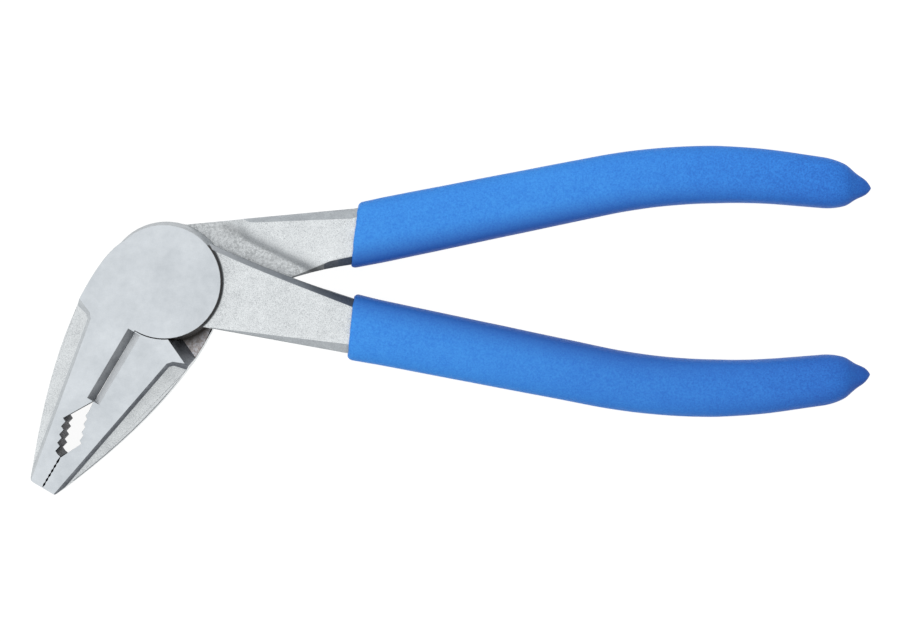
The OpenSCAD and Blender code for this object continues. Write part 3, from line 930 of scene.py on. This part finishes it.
def grip_tree(vinyl):
    """Sweeps a dipped grip along its handle: outer skin from the tip, rounded lip, then skin on the bar."""
    tree = bpy.data.node_groups.new("dipped_grip", "GeometryNodeTree")
    inputs = [*GRIP, "Side", "Seed", "Extra Shade"]
    for name in inputs:
        tree.interface.new_socket(name, in_out="INPUT", socket_type="NodeSocketFloat")
    tree.interface.new_socket("Grip", in_out="OUTPUT", socket_type="NodeSocketGeometry")
    entry = add(tree, "NodeGroupInput")
    size = {name: Wire(tree, entry.outputs[name]) for name in inputs}
    grid = wire(tree, "GeometryNodeMeshGrid", {
        "Size X": 1, "Size Y": 1, "Vertices X": SWEEP_ROWS, "Vertices Y": SWEEP_COLUMNS})
    grid_x, grid_y, _ = parts_of(wire(tree, "GeometryNodeInputPosition"))
    row = grid_x + 0.5
    turn = (grid_y + 0.5) * math.tau * size["Side"]

    # Along the handle: outer skin, lip, inner skin and its end
    lip_turn = spread(row, SKIN_END, LIP_END) * LIP_TURN
    inner_share = spread(row, LIP_END, BAR_END)
    shrink = 1 - spread(row, BAR_END, 1)
    tip_start = size["End"] - size["Tip"]
    bar_end = tip_start - size["Outer Coat"] + size["Coat Gap"]
    lip_start = size["Mouth"] + size["Lip"]
    x = (size["End"] + (lip_start - size["End"]) * spread(row, 0, SKIN_END) ** 1.7
         - size["Lip"] * lip_turn.sine() * (1 - inner_share) + (bar_end - lip_start) * inner_share)

    # Across the handle: the rounded oblong outside and the bevelled bar inside
    middle, lean, bend_top = handle_line(size, x)
    stretch = lean.cosine() ** -1
    width = grip_width(size, x, bend_top, tip_start)
    swell = grip_swell(size, x, turn, tip_start)
    half_thickness = size["Bar Thickness"] * 0.5
    outer_y = turn.cosine().signed_power(size["Roundness"]) * width * stretch * swell * 0.5
    outer_z = turn.sine().signed_power(size["Roundness"]) * swell * (half_thickness + size["Outer Coat"])
    bar_half = (width - size["Outer Coat"] - size["Inner Coat"]) * stretch * 0.5 + size["Coat Gap"]
    bar_high = half_thickness + size["Coat Gap"]
    bar_side = (size["Inner Coat"] - size["Outer Coat"]) * stretch * 0.5
    bevel = choose(outer_y.below(0), size["Inner Bevel"], size["Outer Bevel"])
    outward, upward = outer_y.unsigned(), outer_z.unsigned()
    past_bevel = (outward + upward) / (bar_half + bar_high - bevel)
    reach = (outward / bar_half).at_least(upward / bar_high).at_least(past_bevel)
    inward = (1 - lip_turn.cosine()) * (1 / (1 - math.cos(LIP_TURN)))
    y = middle + choose(inward, outer_y / reach * shrink + bar_side, outer_y)
    z = choose(inward, outer_z / reach * shrink, outer_z)

    pull = mouth_pull(size, x, turn, y - middle)
    point = vector_of((x + pull) * MM, y * size["Side"] * MM, (z + LAP_HEIGHT) * MM)
    made = wire(tree, "GeometryNodeStoreNamedAttribute", {
        "Geometry": grid, "Name": "shade", "Value": coat_shade(size, x, turn)})
    for kind, settings in (
            ("GeometryNodeSetPosition", {"Position": point}),
            ("GeometryNodeMergeByDistance", {"Distance": SAME_PLACE * MM}),
            ("GeometryNodeSetShadeSmooth", {}),
            ("GeometryNodeRealizeInstances", {}),
            ("GeometryNodeSetMaterial", {"Material": vinyl})):
        made = wire(tree, kind, {"Geometry": made, **settings})
    add(tree, "NodeGroupOutput", {"Grip": made})
    return tree


def dipped_grip(tree, node, body, **sizes):
    name = node + "_dipped"
    carrier = placed(node, bpy.data.meshes.new(node))
    modifier = carrier.modifiers.new("Grip", "NODES")
    modifier.node_group = tree
    values = {**GRIP, **sizes}
    for item in tree.interface.items_tree:
        if item.in_out == "INPUT":
            modifier[item.identifier] = float(values[item.name])
    mesh = plain_mesh(carrier, name)
    bm = bmesh.new()
    bm.from_mesh(mesh)
    bmesh.ops.recalc_face_normals(bm, faces=bm.faces)
    bm.to_mesh(mesh)
    bm.free()
    show(name, mesh, body, node, slot="dipped_vinyl")


# Stage

def studio_floor():
    """White floor that shows white to the camera and in the steel, and takes the pliers' shadow."""
    material = bpy.data.materials.new("studio_floor")
    material.use_nodes = True
    tree = material.node_tree
    tree.nodes.clear()
    path = add(tree, "ShaderNodeLightPath")
    camera, glossy, through = (Wire(tree, path.outputs[name]) for name in (
        "Is Camera Ray", "Is Glossy Ray", "Is Transmission Ray"))
    seen = camera.at_least(glossy).at_least(through)
    paper = wire(tree, "ShaderNodeBsdfDiffuse", {"Color": (0.16, 0.16, 0.16, 1)})
    glow = wire(tree, "ShaderNodeEmission", {"Color": (1, 1, 1, 1), "Strength": 0.1 + seen * 0.84})
    both = wire(tree, "ShaderNodeAddShader", {0: paper, 1: glow})
    add(tree, "ShaderNodeOutputMaterial", {"Surface": both})
    mesh = bpy.data.meshes.new("studio_floor")
    far = 6
    low = -0.02 * MM
    corners = [(-far, -far, low), (far, -far, low), (far, far, low), (-far, far, low)]
    mesh.from_pydata(corners, [], [(0, 1, 2, 3)])
    mesh.materials.append(material)
    floor = placed("studio_floor", mesh)


def studio_light():
    """A softbox, and a dome that is bright above, by the jaws and beside the handles."""
    world = bpy.data.worlds.new("studio")
    bpy.context.scene.world = world
    world.use_nodes = True
    tree = world.node_tree
    x, y, z = parts_of(wire(tree, "ShaderNodeTexCoord", output="Generated"))
    top_level = 0.95
    side_level = 0.45 - x * 0.38 + y * 0.22 + y * y * 0.5
    level = choose(z.at_least(0) ** 0.9, top_level, side_level)
    background = tree.nodes["Background"]
    background.inputs["Color"].default_value = (0.97, 0.985, 1, 1)
    tree.links.new(level.socket, background.inputs["Strength"])
    lamp = bpy.data.lights.new("softbox", "AREA")
    lamp.shape = "SQUARE"
    lamp.size = 0.7
    lamp.energy = 0.3
    place, aim = Vector((-0.12, 0.05, 0.8)), Vector((0.05, 0, 0))
    box = placed("softbox", lamp)
    box.location = place
    box.rotation_euler = (aim - place).to_track_quat("-Z", "Y").to_euler()


def photo_camera():
    """Looks down on the pliers from above their handles, and leans a little towards the jaws' side."""
    distance, lean = 480, 14.075
    along_handles, beside_middle = 53.9, 6.56
    camera = bpy.data.cameras.new("camera")
    camera.sensor_width = 36
    camera.lens = 100.95
    camera.clip_start = 0.01
    holder = placed("camera", camera)
    holder.location = Vector((along_handles, beside_middle, LAP_HEIGHT + distance)) * MM
    holder.rotation_euler = (-math.atan(lean / distance), 0, 0)
    bpy.context.scene.camera = holder


photo_camera()
studio_floor()
studio_light()
forged_lever("front_lever", "front_half", turn=-1, inward=1, solid_disc=True)
forged_lever("rear_lever", "rear_half", turn=1, inward=-1, solid_disc=False)
flush_rivet()
grip = grip_tree(dipped_vinyl())
dipped_grip(grip, "upper_grip", "rear_half", **{"Side": 1, "Mouth": 35.9, "Seed": 3, "Extra Shade": 0})
dipped_grip(grip, "lower_grip", "front_half", **{"Side": -1, "Mouth": 35.1, "Seed": 11, "Extra Shade": 1})

bpy.context.scene.view_settings.view_transform = "Standard"
